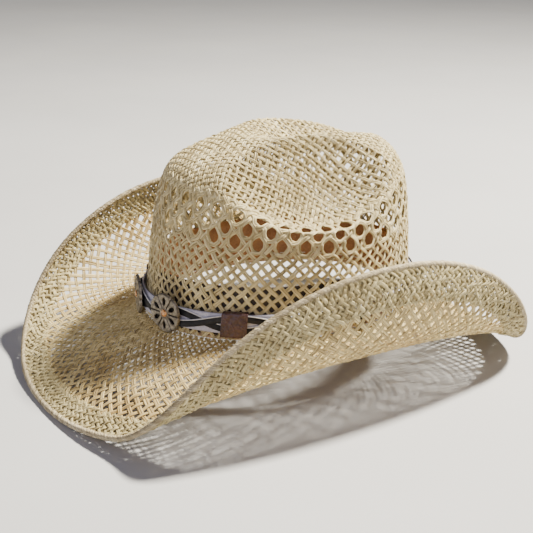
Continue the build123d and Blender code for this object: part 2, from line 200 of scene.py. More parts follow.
class Crown:
    """The creased crown as a table over direction and distance from its top."""

    directions = 720
    spacing = 0.001

    def __init__(self, depth):
        turn = np.linspace(0, 2 * pi, self.directions + 1)[:, None]
        radius, rise = crown_profile()
        half_width = CROWN_HALF_WIDTH * (1 - TAPER_WIDTH * rise)
        half_length = CROWN_HALF_LENGTH * (1 - TAPER_LENGTH * rise)
        slope = np.arctan2(CROWN_TILT * rise, CROWN_HALF_LENGTH)
        along = -half_length * radius * np.cos(turn)
        x = half_width * radius * np.sin(turn)
        y = LEAN * rise + along * np.cos(slope)
        z = CROWN_HEIGHT * rise + CROWN_DOME * (1 - radius**2) ** 4 + along * np.sin(slope)
        z = smooth_min(z, dent_floor(TOP_DENT, x, y), TOP_DENT_BLEND)
        z = smooth_min(z, dent_floor(SIDE_DENT, np.abs(x), y), SIDE_DENT_BLEND)
        points = np.stack([x, CROWN_Y + y, REST_HEIGHT + z], axis=-1)
        steps = np.linalg.norm(np.diff(points, axis=1), axis=2)
        lengths = np.concatenate([np.zeros((len(turn), 1)), np.cumsum(steps, axis=1)], axis=1)
        self.reach = lengths[:, -1]
        count = int(self.reach.max() / self.spacing) + 12
        distances = np.arange(count) * self.spacing
        table = np.empty((len(turn), count, 3))
        for k in range(len(turn)):
            for axis in range(3):
                table[k, :, axis] = np.interp(distances, lengths[k], points[k, :, axis])
            past = distances > self.reach[k]
            table[k, past, 2] = points[k, -1, 2] - (distances[past] - self.reach[k])
        round_ = np.gradient(table, axis=0)
        down = np.gradient(table, axis=1)
        round_[0] = round_[-1] = table[1] - table[-2]
        normal = np.cross(down, round_)
        size = np.linalg.norm(normal, axis=2, keepdims=True)
        normal = np.where(size > 1e-12, normal / np.maximum(size, 1e-12), [0.0, 0.0, 1.0])
        self.normals = normal
        self.table = table - normal * depth

    def look_up(self, values, turn, distance):
        """Bilinear reading of a table over direction and distance."""
        a = np.mod(turn, 2 * pi) / (2 * pi) * self.directions
        b = np.clip(distance / self.spacing, 0, values.shape[1] - 1.001)
        i = np.minimum(a.astype(int), self.directions - 1)
        j = b.astype(int)
        fa = (a - i)[..., None]
        fb = (b - j)[..., None]
        low = values[i, j] * (1 - fb) + values[i, j + 1] * fb
        high = values[i + 1, j] * (1 - fb) + values[i + 1, j + 1] * fb
        return low * (1 - fa) + high * fa

    def at(self, turn, distance):
        """Points and outward normals at directions and distances from the top."""
        normals = self.look_up(self.normals, turn, distance)
        normals /= np.linalg.norm(normals, axis=-1, keepdims=True)
        return self.look_up(self.table, turn, distance), normals

    def reach_at(self, turn):
        """Distance along the surface from the top to the base."""
        ring = np.linspace(0, 2 * pi, self.directions + 1)
        return np.interp(np.mod(turn, 2 * pi), ring, self.reach)


def brim_reach(s, c):
    """Radius of the flat brim's outline in the direction with sine s and cosine c."""
    length = np.where(c > 0, BRIM_FRONT, BRIM_REAR)
    power = BRIM_SQUARE
    return (np.abs(s / BRIM_SIDE) ** power + np.abs(c / length) ** power) ** (-1 / power)


def brim_surface(turn, share):
    """Points on the rolled brim's top: share 0 at the crown, 1 at the edge."""
    s = np.sin(turn)
    c = np.cos(turn)
    reach = brim_reach(s, c)
    x = CROWN_HALF_WIDTH * s * (1 - share) + reach * s * share
    y = -CROWN_HALF_LENGTH * c * (1 - share) - reach * c * share
    ends = (y / ROLL_REACH) ** 2
    start = ROLL_START + ROLL_START_ENDS * ends
    radius = ROLL_RADIUS + ROLL_RADIUS_ENDS * ends
    bend = np.maximum(np.abs(x) - start, 0) / radius
    across = np.minimum(np.abs(x), start) + radius * np.sin(bend)
    z = radius * (1 - np.cos(bend)) - DIP * c * c * share - SIDE_SAG * s * s * np.sin(pi * share)
    return np.stack([np.sign(x) * across, CROWN_Y + y, REST_HEIGHT + z], axis=-1)


def brim_at(turn, share, depth=STRAW / 2):
    """Points below the brim's top by depth, and its upward normals."""
    step = 1e-3
    along = brim_surface(turn + step, share) - brim_surface(turn - step, share)
    out = brim_surface(turn, share + step) - brim_surface(turn, share - step)
    normals = np.cross(out, along)
    normals /= np.linalg.norm(normals, axis=-1, keepdims=True)
    return brim_surface(turn, share) - normals * depth, normals


def wall_at(angle, outset, height):
    """Points beside the crown's wall; angle in degrees from the front, 90 the left."""
    rise = height / CROWN_HEIGHT
    turn = np.radians(angle)
    half_width = CROWN_HALF_WIDTH * (1 - TAPER_WIDTH * rise)
    half_length = CROWN_HALF_LENGTH * (1 - TAPER_LENGTH * rise)
    x = (half_width + outset) * np.sin(turn)
    y = CROWN_Y + LEAN * rise - (half_length + outset) * np.cos(turn)
    return np.stack(np.broadcast_arrays(x, y, REST_HEIGHT + height), axis=-1)


def wall_normal(angle, outset, height):
    """Outward normals of the leaning wall."""
    along = wall_at(angle + 0.05, outset, height) - wall_at(angle - 0.05, outset, height)
    climb = wall_at(angle, outset, height + 0.001) - wall_at(angle, outset, height)
    out = np.cross(along, climb)
    return out / np.linalg.norm(out, axis=-1, keepdims=True)


# ------------ meshes
def new_piece(name, verts, faces, body, material):
    """A mesh from points and equal-sized faces, or a list of both kinds of face arrays."""
    mesh = bpy.data.meshes.new(name)
    groups = faces if isinstance(faces, list) else [faces]
    groups = [np.asarray(group, dtype=np.int32) for group in groups if len(group)]
    corners = np.concatenate([group.ravel() for group in groups])
    sizes = np.concatenate([np.full(len(group), group.shape[1]) for group in groups])
    starts = np.concatenate([[0], np.cumsum(sizes)[:-1]])
    mesh.vertices.add(len(verts))
    mesh.vertices.foreach_set("co", np.asarray(verts, dtype=np.float32).ravel())
    mesh.loops.add(len(corners))
    mesh.loops.foreach_set("vertex_index", corners)
    mesh.polygons.add(len(sizes))
    mesh.polygons.foreach_set("loop_start", starts.astype(np.int32))
    mesh.polygons.foreach_set("use_smooth", np.full(len(sizes), True))
    mesh.update(calc_edges=True)
    mesh.validate()
    piece = bpy.data.objects.new(name, mesh)
    bpy.context.scene.collection.objects.link(piece)
    mesh.materials.append(material)
    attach(piece, body)
    return piece


def keep_values(piece, name, values):
    """Stores a vector per vertex for the material to read."""
    layer = piece.data.attributes.new(name, "FLOAT_VECTOR", "POINT")
    layer.data.foreach_set("vector", np.asarray(values, dtype=np.float32).ravel())


def oval_profile(width, thickness, count=8):
    """A round or oval section."""
    turn = np.arange(count) * 2 * pi / count
    return np.stack([np.cos(turn) * width / 2, np.sin(turn) * thickness / 2], axis=-1)


def straw_profile(width, thickness):
    """The section of one flattened straw."""
    half = width / 2
    side = [(-1, 0), (-0.6, 0.9), (0.1, 1.0), (0.75, 0.75), (1, 0), (0, -0.9)]
    return np.array([(x * half, z * thickness / 2) for x, z in side])


def twin_profile(width, thickness):
    """The section of two straws that lie side by side."""
    half = width / 2
    side = [(-1, 0), (-0.5, 1), (0, 0.35), (0.5, 1), (1, 0), (0.5, -1), (0, -0.35), (-0.5, -1)]
    return np.array([(x * half, z * thickness / 2) for x, z in side])


def box_profile(width, thickness, rounding, rows=5):
    """A flat section with rounded edges, its long side divided for the shading."""
    half = width / 2
    up = thickness / 2
    across = np.linspace(-half + rounding, half - rounding, rows)
    top = [(x, up) for x in across]
    bottom = [(x, -up) for x in across[::-1]]
    edge = up * 0.45
    return np.array([(-half, -edge), (-half, edge)] + top + [(half, edge), (half, -edge)] + bottom)


def straw_pair(points, normals, own, strand, scale):
    """The two flat straws of each strand; they wander a little beside each other."""
    width, thickness = strand
    profile = straw_profile(width * 0.56, thickness)
    step = np.arange(points.shape[1])[None, :]
    parts = []
    for k, side in enumerate((-1, 1)):
        drift = 1 + 0.22 * np.sin(own * (5.1 + k) + step * 0.061)
        drift = drift + 0.12 * np.sin(own * (2.7 + k) + step * 0.17)
        rise = 0.16 * thickness * np.sin(own * (7.3 + k) + step * 0.093)
        size = scale * (1 + 0.15 * np.sin(own * (3.9 + 2 * k) + step * 0.047))
        sideways = side * drift * scale * width * 0.245
        parts.append(sweep(points, normals, profile, scale=size, sideways=sideways, rise=rise))
    return parts


def sweep(points, normals, profile, closed=False, scale=None, sideways=None, rise=None):
    """Verts, faces and fibre coordinates of strands: points are (strand, step, 3)."""
    strands, steps, _ = points.shape
    if closed:
        tangent = np.roll(points, -1, axis=1) - np.roll(points, 1, axis=1)
    else:
        tangent = np.gradient(points, axis=1)
    tangent /= np.linalg.norm(tangent, axis=2, keepdims=True)
    side = np.cross(tangent, normals)
    side /= np.linalg.norm(side, axis=2, keepdims=True)
    facing = np.cross(side, tangent)
    if sideways is not None:
        points = points + side * sideways[..., None] + facing * rise[..., None]
    size = len(profile)
    width = profile[:, 0][None, None, :, None]
    height = profile[:, 1][None, None, :, None]
    if scale is not None:
        width = width * scale[..., None, None]
    verts = points[:, :, None] + side[:, :, None] * width + facing[:, :, None] * height
    rings = steps if closed else steps - 1
    s, n, k = np.meshgrid(np.arange(strands), np.arange(rings), np.arange(size), indexing="ij")
    here = (s * steps + n) * size
    there = (s * steps + (n + 1) % steps) * size
    turn = (k + 1) % size
    quads = np.stack([here + k, here + turn, there + turn, there + k], axis=-1)
    faces = [quads.reshape(-1, 4)]
    if not closed:
        first = np.arange(strands)[:, None] * steps * size + np.arange(size)
        last = first + (steps - 1) * size
        faces += [first[:, ::-1], last]
    length = np.linalg.norm(np.diff(points, axis=1), axis=2)
    along = np.concatenate([np.zeros((strands, 1)), np.cumsum(length, axis=1)], axis=1)
    seed = random.random((strands, 1, 1))
    fibre = np.stack(np.broadcast_arrays(along[:, :, None], profile[:, 0][None, None, :], seed), axis=-1)
    return verts.reshape(-1, 3), faces, fibre.reshape(-1, 3)


def join(parts):
    """One mesh of several (verts, faces, fibre) sets."""
    verts = []
    faces = []
    fibres = []
    offset = 0
    for points, groups, fibre in parts:
        verts.append(points)
        faces += [group + offset for group in groups]
        fibres.append(fibre)
        offset += len(points)
    return np.concatenate(verts), faces, np.concatenate(fibres)


def strand_piece(name, parts, body, material):
    """One piece of several swept strands, with the fibres' course kept for its material."""
    verts, faces, fibre = join(parts)
    by_size = {}
    for group in faces:
        by_size.setdefault(group.shape[1], []).append(group)
    faces = [np.concatenate(groups) for groups in by_size.values()]
    piece = new_piece(name, verts, faces, body, material)
    keep_values(piece, "fibre", fibre)
    return piece


# ------------ materials
def material_nodes(name, roughness, metallic=0.0):
    """A new material, its nodes, links and shader."""
    material = bpy.data.materials.new(name)
    material.use_nodes = True
    nodes = material.node_tree.nodes
    shader = nodes["Principled BSDF"]
    shader.inputs["Roughness"].default_value = roughness
    shader.inputs["Metallic"].default_value = metallic
    return material, nodes, material.node_tree.links, shader


def attribute_vector(nodes, name):
    """The values that keep_values stored."""
    node = nodes.new("ShaderNodeAttribute")
    node.attribute_name = name
    return node.outputs["Vector"]


def noise(nodes, links, vector, scale, stretch=(1, 1, 1), detail=3.0, rough=0.6):
    """Cloudy noise from 0 to 1, finer along an axis with a larger stretch."""
    place = nodes.new("ShaderNodeMapping")
    place.inputs["Scale"].default_value = stretch
    links.new(vector, place.inputs["Vector"])
    node = nodes.new("ShaderNodeTexNoise")
    node.inputs["Scale"].default_value = scale
    node.inputs["Detail"].default_value = detail
    node.inputs["Roughness"].default_value = rough
    links.new(place.outputs["Vector"], node.inputs["Vector"])
    return node.outputs["Fac"]


def ramp(nodes, links, value, stops):
    """Colours at places along a value."""
    node = nodes.new("ShaderNodeValToRGB")
    points = node.color_ramp.elements
    while len(points) < len(stops):
        points.new(0.5)
    for point, (place, colour) in zip(points, stops):
        point.position = place
        point.color = (*colour, 1)
    links.new(value, node.inputs["Fac"])
    return node.outputs["Color"]


def mix(nodes, links, kind, share, first, second):
    """A colour mix; share may be a number or an output."""
    node = nodes.new("ShaderNodeMix")
    node.data_type = "RGBA"
    node.blend_type = kind
    if isinstance(share, (int, float)):
        node.inputs[0].default_value = share
    else:
        links.new(share, node.inputs[0])
    links.new(first, node.inputs[6])
    links.new(second, node.inputs[7])
    return node.outputs[2]


def bump(nodes, links, shader, height, strength, distance):
    """Relief from a height, in the shading only."""
    node = nodes.new("ShaderNodeBump")
    node.inputs["Strength"].default_value = strength
    node.inputs["Distance"].default_value = distance
    links.new(height, node.inputs["Height"])
    links.new(node.outputs["Normal"], shader.inputs["Normal"])


def straw_material(name, light, middle, dark, stain, gloss=0.5):
    """Natural straw: fibres along each strand, strands that differ, and weathered patches."""
    material, nodes, links, shader = material_nodes(name, gloss)
    fibre = attribute_vector(nodes, "fibre")
    place = nodes.new("ShaderNodeTexCoord").outputs["Object"]
    streak = noise(nodes, links, fibre, 1.0, (45, 2600, 90), 4.0, 0.7)
    colour = ramp(nodes, links, streak, [(0.30, dark), (0.47, middle), (0.66, light)])
    strand = noise(nodes, links, fibre, 1.0, (9, 0, 330), 1.0, 0.5)
    shades = [(0.36, (0.52, 0.47, 0.38)), (0.5, (0.90, 0.88, 0.84)), (0.64, (1.0, 1.0, 1.0))]
    tone = ramp(nodes, links, strand, shades)
    colour = mix(nodes, links, "MULTIPLY", 0.85, colour, tone)
    patches = noise(nodes, links, place, 17.0, (1, 1, 1), 3.0, 0.6)
    weather = ramp(nodes, links, patches, [(0.42, (1.0, 1.0, 1.0)), (0.68, stain)])
    colour = mix(nodes, links, "MULTIPLY", 0.8, colour, weather)
    links.new(colour, shader.inputs["Base Color"])
    rough = ramp(nodes, links, streak, [(0.3, (gloss + 0.18,) * 3), (0.7, (gloss - 0.08,) * 3)])
    links.new(rough, shader.inputs["Roughness"])
    shader.inputs["Sheen Weight"].default_value = 0.08
    bump(nodes, links, shader, streak, 0.9, 0.0005)
    return material


def leather_material(name, colour, shade, grain, roughness, crease=1.0, painted_shade_colour=None, gloss=0.5):
    """Leather with cells of grain and a slightly worn tone; a dark colour given for its back is painted
    shade, laid over the faces that the cavity attribute marks.
    """
    material, nodes, links, shader = material_nodes(name, roughness)
    shader.inputs["Specular IOR Level"].default_value = gloss
    place = nodes.new("ShaderNodeTexCoord").outputs["Object"]
    cells = nodes.new("ShaderNodeTexVoronoi")
    cells.inputs["Scale"].default_value = grain
    cells.feature = "SMOOTH_F1"
    links.new(place, cells.inputs["Vector"])
    tone = noise(nodes, links, place, grain * 0.12, (1, 1, 1), 4.0, 0.6)
    base = ramp(nodes, links, tone, [(0.35, shade), (0.65, colour)])
    shades = [(0.1, (1.0, 1.0, 1.0)), (0.75, (0.62, 0.60, 0.60))]
    pit = ramp(nodes, links, cells.outputs["Distance"], shades)
    colour = mix(nodes, links, "MULTIPLY", 0.8, base, pit)
    # Painted shade: the marked faces take the dark back colour for the shade inside the crown, not a colour
    # of the leather.
    if painted_shade_colour:
        back = nodes.new("ShaderNodeSeparateXYZ")
        links.new(attribute_vector(nodes, "cavity"), back.inputs[0])
        darker = tuple(0.6 * part for part in painted_shade_colour)
        painted_shade_tone = ramp(nodes, links, tone, [(0.35, darker), (0.65, painted_shade_colour)])
        colour = mix(nodes, links, "MIX", back.outputs["X"], colour, painted_shade_tone)
    links.new(colour, shader.inputs["Base Color"])
    wear = ramp(nodes, links, tone, [(0.3, (roughness + 0.15,) * 3), (0.7, (roughness - 0.08,) * 3)])
    links.new(wear, shader.inputs["Roughness"])
    invert = nodes.new("ShaderNodeMath")
    invert.operation = "MULTIPLY"
    invert.inputs[1].default_value = -1.0
    links.new(cells.outputs["Distance"], invert.inputs[0])
    bump(nodes, links, shader, invert.outputs[0], 0.6 * crease, 0.4 / grain)
    return material


def metal_material(name, bright, patina, roughness, cavity=False):
    """Cast metal mottled between patina and bright metal; with cavity, its hollows are dark with patina."""
    material, nodes, links, shader = material_nodes(name, roughness, 0.85)
    place = nodes.new("ShaderNodeTexCoord").outputs["Object"]
    mottle = noise(nodes, links, place, 420.0, (1, 1, 1), 5.0, 0.7)
    base = ramp(nodes, links, mottle, [(0.36, patina), (0.62, bright)])
    if cavity:
        dirt = nodes.new("ShaderNodeSeparateXYZ")
        links.new(attribute_vector(nodes, "cavity"), dirt.inputs[0])
        shades = [(0.15, (1.0, 1.0, 1.0)), (0.75, (0.035, 0.03, 0.028))]
        black = ramp(nodes, links, dirt.outputs["X"], shades)
        base = mix(nodes, links, "MULTIPLY", 1.0, base, black)
    links.new(base, shader.inputs["Base Color"])
    rough = ramp(nodes, links, mottle, [(0.3, (roughness + 0.2,) * 3), (0.7, (roughness - 0.05,) * 3)])
    links.new(rough, shader.inputs["Roughness"])
    bump(nodes, links, shader, mottle, 0.35, 0.0003)
    return material


def thread_material(name, colour, shade):
    """Twisted thread, or a plain cord, with a fine mottle."""
    material, nodes, links, shader = material_nodes(name, 0.6)
    place = nodes.new("ShaderNodeTexCoord").outputs["Object"]
    twist = noise(nodes, links, place, 900.0, (1, 1, 1), 2.0, 0.5)
    links.new(ramp(nodes, links, twist, [(0.35, shade), (0.65, colour)]), shader.inputs["Base Color"])
    bump(nodes, links, shader, twist, 0.5, 0.0002)
    return material


def stone_material(name, light, middle, dark):
    """A polished, mottled stone."""
    material, nodes, links, shader = material_nodes(name, 0.22)
    place = nodes.new("ShaderNodeTexCoord").outputs["Object"]
    mottle = noise(nodes, links, place, 700.0, (1, 1, 1), 5.0, 0.7)
    colour = ramp(nodes, links, mottle, [(0.34, dark), (0.5, middle), (0.68, light)])
    links.new(colour, shader.inputs["Base Color"])
    shader.inputs["Coat Weight"].default_value = 0.5
    bump(nodes, links, shader, mottle, 0.5, 0.0003)
    return material


wall_straw = straw_material("wall_straw", light=(0.95, 0.87, 0.56), middle=(0.67, 0.55, 0.27),
                            dark=(0.19, 0.125, 0.05), stain=(0.76, 0.72, 0.66))
brim_straw = straw_material("brim_straw", light=(0.92, 0.78, 0.42), middle=(0.59, 0.455, 0.19),
                            dark=(0.17, 0.105, 0.038), stain=(0.82, 0.72, 0.58))
hem_straw = straw_material("hem_straw", light=(0.80, 0.70, 0.40), middle=(0.50, 0.415, 0.20),
                           dark=(0.17, 0.12, 0.05), stain=(0.80, 0.78, 0.72), gloss=0.55)
edge_straw = straw_material("edge_straw", light=(0.80, 0.71, 0.50), middle=(0.53, 0.44, 0.27),
                            dark=(0.235, 0.175, 0.09), stain=(0.80, 0.78, 0.72), gloss=0.55)
tan_leather = leather_material("tan_leather", (0.50, 0.225, 0.065), (0.34, 0.14, 0.04), 900.0, 0.45)
# Its near-black outer face, seen through the vents, is painted shade, not the leather's colour.
sweat_leather = leather_material("sweatband_tan", (0.50, 0.225, 0.065), (0.34, 0.14, 0.04), 900.0, 0.45,
                                 painted_shade_colour=(0.050, 0.036, 0.028))
pearl_leather = leather_material("pearl_leather", (0.60, 0.59, 0.68), (0.44, 0.43, 0.52), 1500.0, 0.34,
                                 crease=0.5)
black_leather = leather_material("black_lace", (0.016, 0.016, 0.020), (0.007, 0.007, 0.009), 1300.0, 0.5,
                                 gloss=0.25)
brown_leather = leather_material("brown_reptile", (0.085, 0.034, 0.034), (0.030, 0.012, 0.013), 480.0, 0.34,
                                 crease=1.6)
white_piping = leather_material("white_piping", (0.82, 0.82, 0.84), (0.66, 0.66, 0.69), 1600.0, 0.38,
                                crease=0.5)
pewter = metal_material("antique_pewter", (0.30, 0.265, 0.21), (0.13, 0.112, 0.085), 0.42, cavity=True)
steel = metal_material("plain_steel", (0.62, 0.62, 0.63), (0.40, 0.40, 0.41), 0.30)
thread = thread_material("pale_thread", (0.80, 0.72, 0.55), (0.55, 0.47, 0.32))
dark_thread = thread_material("dark_thread", (0.13, 0.075, 0.06), (0.05, 0.03, 0.025))
reed_plastic = thread_material("reed_plastic", (0.60, 0.40, 0.22), (0.46, 0.29, 0.15))
stone = stone_material("copper_stone", light=(0.85, 0.62, 0.34), middle=(0.62, 0.25, 0.06),
                       dark=(0.10, 0.035, 0.012))

# ------------ crown
crown = Crown(STRAW / 2)


def vent_start():
    """Distance from the top to the first row of vents, from its height at the left front."""
    turn = radians(VENT_TURN)
    distances = np.arange(0.04, crown.reach_at(turn), crown.spacing)
    points, _ = crown.at(np.full(len(distances), turn), distances)
    miss = np.abs(points[:, 2] - REST_HEIGHT - VENT_HEIGHT)
    return distances[np.argmin(miss + (distances < VENT_NEAREST))]


vent_first = vent_start()
wall_top = vent_first - WALL_ABOVE_VENTS * WALL_PERIOD
round_radius = CROWN_HALF_WIDTH + WALL_BULGE        # turns angles into lengths round the wall


def wave(own, crossing, amplitude, sign):
    """Over and under: out at one crossing, in at the next."""
    return sign * amplitude * np.cos(pi * (crossing + own))


def push_from_vents(turn, distance):
    """Strands moved out of the vents, so that they run round them."""
    moved_turn = turn.copy()
    moved_distance = distance.copy()
    pitch = 2 * pi / (WALL_STRANDS / 2)
    for row in range(VENT_ROWS):
        middle = vent_first + row * VENT_SPACING
        shift = 0.25 * pitch + 0.5 * pitch * (row % 2)
        for neighbour in (-1, 0, 1):
            centre = (np.round((turn - shift) / pitch) + neighbour) * pitch + shift
            across = (turn - centre) * round_radius / VENT_HALF_WIDTH
            along = (distance - middle) / VENT_HALF_HEIGHT
            far = np.sqrt(across**2 + along**2) + 1e-6
            push = (far**VENT_SQUARE + 1) ** (1 / VENT_SQUARE) / far - 1
            push *= VENT_SHARE * (1 - np.clip(far - 1.3, 0, 1))
            moved_turn += across * push * VENT_HALF_WIDTH / round_radius
            moved_distance += along * push * VENT_HALF_HEIGHT
    return moved_turn, moved_distance


def wall_family(sign):
    """One direction of the wall's lattice; sign is the way it leans."""
    own = np.arange(WALL_STRANDS)[:, None] + 0.5
    turn_end = 2 * pi * own / WALL_STRANDS
    for _ in range(12):
        end = crown.reach_at(turn_end) + 0.001
        turn_end = 2 * pi * (own - sign * end / WALL_PERIOD) / WALL_STRANDS
    steps = int((CROWN_HEIGHT - 0.01) * 1.42 / STEP)
    distance = wall_top + (end - wall_top) * np.linspace(0, 1, steps)
    turn = 2 * pi * (own - sign * distance / WALL_PERIOD) / WALL_STRANDS
    crossing = own - 2 * sign * distance / WALL_PERIOD
    lift = wave(own - 0.5, crossing - 0.5, WALL_LIFT, sign)
    lift += 0.00012 * np.sin(own * 7.1 + distance * 260)
    jitter = 0.0004 * np.sin(own * 12.9898 + distance * 190)
    jitter += 0.0003 * np.sin(own * 4.1 - distance * 410)
    turn, distance = push_from_vents(turn + jitter / round_radius, distance)
    points, normals = crown.at(turn, distance)
    points += normals * lift[..., None]
    scale = 1 + 0.16 * np.sin(own * 5.7 + distance * 120) + 0.05 * np.sin(own * 2.3 + distance * 700)
    return straw_pair(points, normals, own, WALL_STRAND, scale)


def top_family(sign):
    """One direction of the plain weave of the crown's top, set diagonally to the hat."""
    reach = wall_top + TOP_OVERLAP
    count = int(2 * reach / TOP_PITCH)
    middle = (count - 1) / 2
    own = (np.arange(count) - middle)[:, None]
    offset = own * TOP_PITCH
    half = np.sqrt(np.maximum(reach**2 - offset**2, 1e-6))
    steps = int(2 * reach / STEP * 0.9)
    along = half * np.linspace(-1, 1, steps)
    offset = offset + 0.00035 * np.sin(own * 9.7 + along * 170)
    if sign > 0:
        u, v = along, offset
    else:
        u, v = offset, along
    across = (u - v) / 2**0.5
    ahead = (u + v) / 2**0.5
    turn = np.arctan2(across, ahead)
    distance = np.hypot(across, ahead)
    lift = wave(own + middle, along / TOP_PITCH + middle, TOP_LIFT, sign)
    points, normals = crown.at(turn, distance)
    points += normals * lift[..., None]
    scale = 1 + 0.14 * np.sin(own * 3.3 + along * 150)
    keep = half[:, 0] > TOP_OVERLAP
    return straw_pair(points[keep], normals[keep], own[keep], TOP_STRAND, scale[keep])


crown_a = strand_piece("crown_wall_straw_a", wall_family(1), "hat", wall_straw)
crown_b = strand_piece("crown_wall_straw_b", wall_family(-1), "hat", wall_straw)
top_a = strand_piece("crown_top_straw_a", top_family(1), "hat", wall_straw)
top_b = strand_piece("crown_top_straw_b", top_family(-1), "hat", wall_straw)
for woven in (crown_a, crown_b, top_a, top_b):
    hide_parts("crown")


# ------------ brim
def brim_growth(turn):
    """Ratio of the brim's outer radius to its inner one, less 1, as it lies flat."""
    s = np.sin(turn)
    c = np.cos(turn)
    outer = brim_reach(s, c)
    return outer / np.hypot(CROWN_HALF_WIDTH * s, CROWN_HALF_LENGTH * c) - 1


def spiral(own, sign, strands, first, last, steps, slope=1.0):
    """Directions and shares of spirals that cross the brim at 45 degrees."""
    def end_of(share):
        climb = np.log(1 + share * brim_growth(2 * pi * own / strands))
        for _ in range(14):
            climb = np.log(1 + share * brim_growth(2 * pi * own / strands - sign * slope * climb))
        return climb

    low = end_of(first)
    climb = low + (end_of(last) - low) * np.linspace(0, 1, steps)
    turn = 2 * pi * own / strands - sign * slope * climb
    share = (np.exp(climb) - 1) / brim_growth(turn)
    return turn, share, climb


def brim_family(sign):
    """One direction of the brim's open weave, from the crown to under the border."""
    own = np.arange(BRIM_STRANDS)[:, None] + 0.0
    turn, share, climb = spiral(own, sign, BRIM_STRANDS, *BRIM_WEAVE, BRIM_STEPS)
    turn = turn + 0.0035 * np.sin(own * 8.3 + climb * 21) + 0.002 * np.sin(own * 3.1 - climb * 47)
    crossing = own - 2 * sign * climb * BRIM_STRANDS / (2 * pi)
    points, normals = brim_at(turn, share)
    lift = wave(own, crossing, BRIM_LIFT, sign) + 0.0001 * np.sin(own * 5.3 + climb * 60)
    points += normals * lift[..., None]
    scale = 0.80 + 0.42 * share + 0.12 * np.sin(own * 6.1 + climb * 15)
    return straw_pair(points, normals, own, BRIM_STRAND, scale)


brim_a = strand_piece("brim_straw_a", brim_family(1), "hat", brim_straw)
brim_b = strand_piece("brim_straw_b", brim_family(-1), "hat", brim_straw)
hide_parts("brim")
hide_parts("brim")


def hem_family(sign, depth, tangle):
    """One direction of the border's dense, uneven weave."""
    own = np.arange(HEM_STRANDS)[:, None] + 0.5 * (depth > 0.001)
    turn, share, climb = spiral(own, sign, HEM_STRANDS, *HEM_WEAVE, HEM_STEPS, HEM_SLOPE)
    turn = turn + tangle * (np.sin(own * 12.7 + climb * 33) + 0.7 * np.sin(own * 5.9 + climb * 71))
    crossing = own - 2 * sign * climb * HEM_STRANDS / (2 * pi)
    points, normals = brim_at(turn, share, depth)
    lift = wave(own, crossing, HEM_LIFT, sign) + 0.00035 * np.sin(own * 3.7 + climb * 45)
    points += normals * lift[..., None]
    scale = 1.0 + 0.25 * np.sin(own * 4.9 + climb * 30)
    return sweep(points, normals, twin_profile(*HEM_STRAND), scale=scale)


for name, depth, tangle in (("top", 0.0004, 0.006), ("under", 0.0018, 0.008)):
    families = [hem_family(sign, depth, tangle) for sign in (1, -1)]
    hem = strand_piece(f"hem_straw_{name}", families, "hat", hem_straw)
    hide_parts("brim_hem")


def edge_ring(depth, steps):
    """Points and normals along the brim's edge, evenly spaced, and its length."""
    fine = np.linspace(0, 2 * pi, 2881)
    points = brim_surface(fine, np.full(len(fine), EDGE_SHARE))
    lengths = np.concatenate([[0], np.cumsum(np.linalg.norm(np.diff(points, axis=0), axis=1))])
    turn = np.interp(np.linspace(0, lengths[-1], steps, endpoint=False), lengths, fine)
    points, normals = brim_at(turn, np.full(steps, EDGE_SHARE), depth)
    return points, normals, lengths[-1]


def edge_rope():
    """Straws twisted round the wire along the brim's edge."""
    steps = 960
    points, normals, length = edge_ring(STRAW / 2, steps)
    tangent = np.roll(points, -1, axis=0) - np.roll(points, 1, axis=0)
    tangent /= np.linalg.norm(tangent, axis=1, keepdims=True)
    side = np.cross(tangent, normals)
    turns = round(length / ROPE_LAY)
    parts = []
    for k in range(ROPE_STRANDS):
        phase = 2 * pi * (turns * np.arange(steps) / steps + k / ROPE_STRANDS)
        out = normals * np.cos(phase)[:, None] + side * np.sin(phase)[:, None]
        wobble = 1 + 0.10 * np.sin(phase * 0.13 + k) + 0.06 * np.sin(phase * 0.71 + 2 * k)
        centre = points + out * (ROPE_RADIUS * wobble)[:, None]
        parts.append(sweep(centre[None], out[None], twin_profile(*ROPE_STRAND), closed=True))
    return parts


rope = strand_piece("brim_edge_rope", edge_rope(), "hat", edge_straw)
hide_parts("brim_edge_roll")


# ------------ sweatband
def wall_ring(name, height, outset, profile, body, material, gap=0.0):
    """A band round the crown's oval; gap is half its opening at the back, in degrees."""
    closed = gap == 0
    span = 180 - gap
    count = 360
    angle = np.linspace(-span, span, count, endpoint=not closed)
    points = wall_at(angle, outset, np.full(count, height))
    normals = wall_normal(angle, outset, height)
    ring = sweep(points[None], normals[None], profile, closed=closed)
    return strand_piece(name, [ring], body, material)


sweat_middle = SWEAT_OUTER - SWEAT_THICKNESS / 2
sweat_profile = box_profile(SWEAT_HEIGHT - 0.0004, SWEAT_THICKNESS, 0.0006, 9)
sweat = wall_ring("sweatband_leather_strip", SWEAT_HEIGHT / 2, sweat_middle, sweat_profile,
                  "hat", sweat_leather)
# Marks the outer face, towards the straw, for the painted shade.
outside = np.tile(sweat_profile[:, 1] > 0, len(sweat.data.vertices) // len(sweat_profile))
keep_values(sweat, "cavity", np.stack([outside] * 3, axis=-1))
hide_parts("sweatband")
reed = wall_ring("sweatband_reed_cord", -REED_RADIUS, SWEAT_OUTER - SWEAT_THICKNESS,
                 oval_profile(2 * REED_RADIUS, 2 * REED_RADIUS, 12), "hat", reed_plastic)
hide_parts("sweatband_reed")

# ------------ hatband
strap_outer = STRAP_GAP + STRAP_THICKNESS
lace_a_inner = strap_outer + LAYER_GAP
lace_b_inner = lace_a_inner + LACE_THICKNESS + LAYER_GAP
lace_outer = lace_b_inner + LACE_THICKNESS

strap = wall_ring("band_pearl_strap", STRAP_CENTRE, STRAP_GAP + STRAP_THICKNESS / 2,
                  box_profile(STRAP_HEIGHT, STRAP_THICKNESS, 0.0005, 9),
                  "hatband", pearl_leather, gap=BAND_SLIT)
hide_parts("band_strap")


